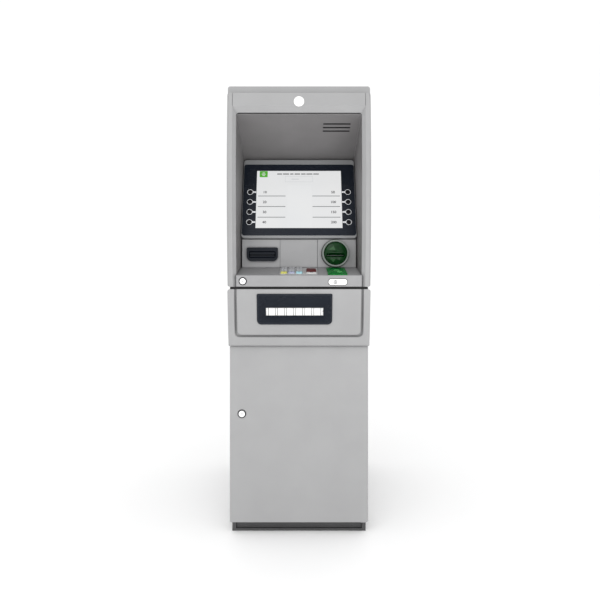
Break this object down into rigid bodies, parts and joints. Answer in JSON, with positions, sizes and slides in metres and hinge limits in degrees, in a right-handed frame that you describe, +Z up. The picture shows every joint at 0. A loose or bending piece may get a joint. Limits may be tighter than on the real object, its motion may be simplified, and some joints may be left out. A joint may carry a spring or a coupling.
{
  "type": "cash machine",
  "caption": "Free-standing lobby cash machine with a hooded screen recess, keypad shelf, card reader, cash shutter, hinged lower door and a slide-out upper unit.",
  "frame": {"origin": "middle of the bounding box on the floor", "axes": "+Z up, the user stands on the -Y side, +X to the right of the user"},
  "size_m": [0.464, 0.72, 1.474],
  "materials": {
    "body_paint": "fine textured light grey powder coat",
    "recess_paint": "satin mid grey moulding",
    "panel_paint": "satin light grey moulding",
    "plinth_paint": "matt dark grey powder coat",
    "navy_plastic": "gloss navy black",
    "screen_glass": "lit white screen behind clear glass",
    "white_plastic": "gloss white translucent",
    "green_plastic": "gloss translucent green",
    "steel": "bare machined steel",
    "module_grey": "dark grey housing of an inner module",
    "safe_paint": "grey paint on thick steel plate",
    "lock_face": "bright plated lock plug",
    "dial_black": "black moulded dial",
    "tray_steel": "fine brushed stainless steel",
    "key_metal": "satin steel key caps",
    "key_yellow": "yellow key cap",
    "key_lavender": "pale blue grey key cap",
    "key_cyan": "pale cyan key cap",
    "key_white": "light grey key cap",
    "key_red": "dark red key cap",
    "key_black": "black key cap",
    "ring_plastic": "light grey ring"
  },
  "bodies": {
    "cabinet": {"plinth": "plinth_paint", "kick_panel": "plinth_paint", "side_panels": "body_paint", "rear_panel": "body_paint", "top_panel": "body_paint", "computer_core": "module_grey", "safe_body": "safe_paint", "safe_door": "safe_paint", "cash_cassettes": "module_grey", "note_dispenser": "module_grey", "lower_fascia": "body_paint", "dispenser_surround": "navy_plastic", "door_hinges": "steel", "slide_rails_fixed": "steel"},
    "fascia_unit": {"upper_fascia": "body_paint", "recess_liner": "recess_paint", "keypad_shelf": "panel_paint", "keypad_tray": "tray_steel", "module_panels": "panel_paint", "display_frame": "panel_paint", "display_bezel": "navy_plastic", "display_screen": "screen_glass", "card_reader_ring": "ring_plastic", "card_reader_bezel": "green_plastic", "card_reader": "module_grey", "guide_panel": "green_plastic", "receipt_surround": "navy_plastic", "receipt_printer": "module_grey", "audio_plate": "white_plastic", "roundel": "white_plastic", "slide_rails_moving": "steel"},
    "safe_handle": {"safe_handle": "steel"},
    "combination_dial": {"combination_dial": "dial_black"},
    "safe_bolts": {"safe_bolts": "steel"},
    "cash_shutter": {"cash_shutter": "white_plastic"},
    "cabinet_door": {"cabinet_door": "body_paint"},
    "cabinet_lock": {"cabinet_lock": "lock_face"},
    "fascia_lock": {"fascia_lock": "lock_face"},
    "key_1": {"key_1": "key_metal"},
    "key_2": {"key_2": "key_metal"},
    "key_3": {"key_3": "key_metal"},
    "key_4": {"key_4": "key_metal"},
    "key_5": {"key_5": "key_metal"},
    "key_6": {"key_6": "key_metal"},
    "key_7": {"key_7": "key_metal"},
    "key_8": {"key_8": "key_metal"},
    "key_9": {"key_9": "key_metal"},
    "key_0": {"key_0": "key_lavender"},
    "key_clear": {"key_clear": "key_yellow"},
    "key_info": {"key_info": "key_cyan"},
    "key_enter": {"key_enter": "key_white"},
    "key_cancel": {"key_cancel": "key_red"},
    "function_key_left_1": {"function_key_left_1": "key_black"},
    "function_key_left_2": {"function_key_left_2": "key_black"},
    "function_key_left_3": {"function_key_left_3": "key_black"},
    "function_key_left_4": {"function_key_left_4": "key_black"},
    "function_key_right_1": {"function_key_right_1": "key_black"},
    "function_key_right_2": {"function_key_right_2": "key_black"},
    "function_key_right_3": {"function_key_right_3": "key_black"},
    "function_key_right_4": {"function_key_right_4": "key_black"}
  },
  "joints": [
    {"name": "fascia_slide", "type": "slide", "parent": "cabinet", "child": "fascia_unit", "axis": [0, -1, 0], "range_m": [0, 0.35]},
    {"name": "cabinet_door_hinge", "type": "hinge", "parent": "cabinet", "child": "cabinet_door", "pos_m": [0.222, -0.281, 0.329], "axis": [0, 0, 1], "range_deg": [0, 110]},
    {"name": "cash_shutter_slide", "type": "slide", "parent": "cabinet", "child": "cash_shutter", "axis": [0, -0.1493, 0.9888], "range_m": [0, 0.029]},
    {"name": "safe_handle_turn", "type": "hinge", "parent": "cabinet", "child": "safe_handle", "pos_m": [0.06, -0.235, 0.38], "axis": [0, -1, 0], "range_deg": [0, 90]},
    {"name": "safe_bolts_slide", "type": "slide", "parent": "cabinet", "child": "safe_bolts", "axis": [1, 0, 0], "range_m": [0, 0.018]},
    {"name": "combination_dial_turn", "type": "hinge", "parent": "cabinet", "child": "combination_dial", "pos_m": [-0.06, -0.235, 0.43], "axis": [0, -1, 0], "continuous": true},
    {"name": "cabinet_lock_turn", "type": "hinge", "parent": "cabinet_door", "child": "cabinet_lock", "pos_m": [-0.19, -0.292, 0.397], "axis": [0, -1, 0], "range_deg": [0, 90]},
    {"name": "fascia_lock_turn", "type": "hinge", "parent": "fascia_unit", "child": "fascia_lock", "pos_m": [-0.1817, -0.34181, 0.8385], "axis": [0, 0.9936, 0.1128], "range_deg": [0, 90]},
    {"name": "function_key_left_1_press", "type": "slide", "parent": "fascia_unit", "child": "function_key_left_1", "axis": [0, 0.9432, -0.3322], "range_m": [0, 0.002], "stiffness_N_per_m": 300, "springref_m": -0.002},
    {"name": "function_key_left_2_press", "type": "slide", "parent": "fascia_unit", "child": "function_key_left_2", "axis": [0, 0.9432, -0.3322], "range_m": [0, 0.002], "stiffness_N_per_m": 300, "springref_m": -0.002},
    {"name": "function_key_left_3_press", "type": "slide", "parent": "fascia_unit", "child": "function_key_left_3", "axis": [0, 0.9432, -0.3322], "range_m": [0, 0.002], "stiffness_N_per_m": 300, "springref_m": -0.002},
    {"name": "function_key_left_4_press", "type": "slide", "parent": "fascia_unit", "child": "function_key_left_4", "axis": [0, 0.9432, -0.3322], "range_m": [0, 0.002], "stiffness_N_per_m": 300, "springref_m": -0.002},
    {"name": "function_key_right_1_press", "type": "slide", "parent": "fascia_unit", "child": "function_key_right_1", "axis": [0, 0.9432, -0.3322], "range_m": [0, 0.002], "stiffness_N_per_m": 300, "springref_m": -0.002},
    {"name": "function_key_right_2_press", "type": "slide", "parent": "fascia_unit", "child": "function_key_right_2", "axis": [0, 0.9432, -0.3322], "range_m": [0, 0.002], "stiffness_N_per_m": 300, "springref_m": -0.002},
    {"name": "function_key_right_3_press", "type": "slide", "parent": "fascia_unit", "child": "function_key_right_3", "axis": [0, 0.9432, -0.3322], "range_m": [0, 0.002], "stiffness_N_per_m": 300, "springref_m": -0.002},
    {"name": "function_key_right_4_press", "type": "slide", "parent": "fascia_unit", "child": "function_key_right_4", "axis": [0, 0.9432, -0.3322], "range_m": [0, 0.002], "stiffness_N_per_m": 300, "springref_m": -0.002},
    {"name": "key_1_press", "type": "slide", "parent": "fascia_unit", "child": "key_1", "axis": [0, 0.2028, -0.9792], "range_m": [0, 0.002], "stiffness_N_per_m": 400, "springref_m": -0.002},
    {"name": "key_2_press", "type": "slide", "parent": "fascia_unit", "child": "key_2", "axis": [0, 0.2028, -0.9792], "range_m": [0, 0.002], "stiffness_N_per_m": 400, "springref_m": -0.002},
    {"name": "key_3_press", "type": "slide", "parent": "fascia_unit", "child": "key_3", "axis": [0, 0.2028, -0.9792], "range_m": [0, 0.002], "stiffness_N_per_m": 400, "springref_m": -0.002},
    {"name": "key_4_press", "type": "slide", "parent": "fascia_unit", "child": "key_4", "axis": [0, 0.2028, -0.9792], "range_m": [0, 0.002], "stiffness_N_per_m": 400, "springref_m": -0.002},
    {"name": "key_5_press", "type": "slide", "parent": "fascia_unit", "child": "key_5", "axis": [0, 0.2028, -0.9792], "range_m": [0, 0.002], "stiffness_N_per_m": 400, "springref_m": -0.002},
    {"name": "key_6_press", "type": "slide", "parent": "fascia_unit", "child": "key_6", "axis": [0, 0.2028, -0.9792], "range_m": [0, 0.002], "stiffness_N_per_m": 400, "springref_m": -0.002},
    {"name": "key_7_press", "type": "slide", "parent": "fascia_unit", "child": "key_7", "axis": [0, 0.2028, -0.9792], "range_m": [0, 0.002], "stiffness_N_per_m": 400, "springref_m": -0.002},
    {"name": "key_8_press", "type": "slide", "parent": "fascia_unit", "child": "key_8", "axis": [0, 0.2028, -0.9792], "range_m": [0, 0.002], "stiffness_N_per_m": 400, "springref_m": -0.002},
    {"name": "key_9_press", "type": "slide", "parent": "fascia_unit", "child": "key_9", "axis": [0, 0.2028, -0.9792], "range_m": [0, 0.002], "stiffness_N_per_m": 400, "springref_m": -0.002},
    {"name": "key_0_press", "type": "slide", "parent": "fascia_unit", "child": "key_0", "axis": [0, 0.2028, -0.9792], "range_m": [0, 0.002], "stiffness_N_per_m": 400, "springref_m": -0.002},
    {"name": "key_clear_press", "type": "slide", "parent": "fascia_unit", "child": "key_clear", "axis": [0, 0.2028, -0.9792], "range_m": [0, 0.002], "stiffness_N_per_m": 400, "springref_m": -0.002},
    {"name": "key_info_press", "type": "slide", "parent": "fascia_unit", "child": "key_info", "axis": [0, 0.2028, -0.9792], "range_m": [0, 0.002], "stiffness_N_per_m": 400, "springref_m": -0.002},
    {"name": "key_enter_press", "type": "slide", "parent": "fascia_unit", "child": "key_enter", "axis": [0, 0.2028, -0.9792], "range_m": [0, 0.002], "stiffness_N_per_m": 400, "springref_m": -0.002},
    {"name": "key_cancel_press", "type": "slide", "parent": "fascia_unit", "child": "key_cancel", "axis": [0, 0.2028, -0.9792], "range_m": [0, 0.002], "stiffness_N_per_m": 400, "springref_m": -0.002}
  ],
  "couplings": [
    {"joint": "safe_bolts_slide", "follows": "safe_handle_turn", "m_per_rad": 0.011459}
  ]
}
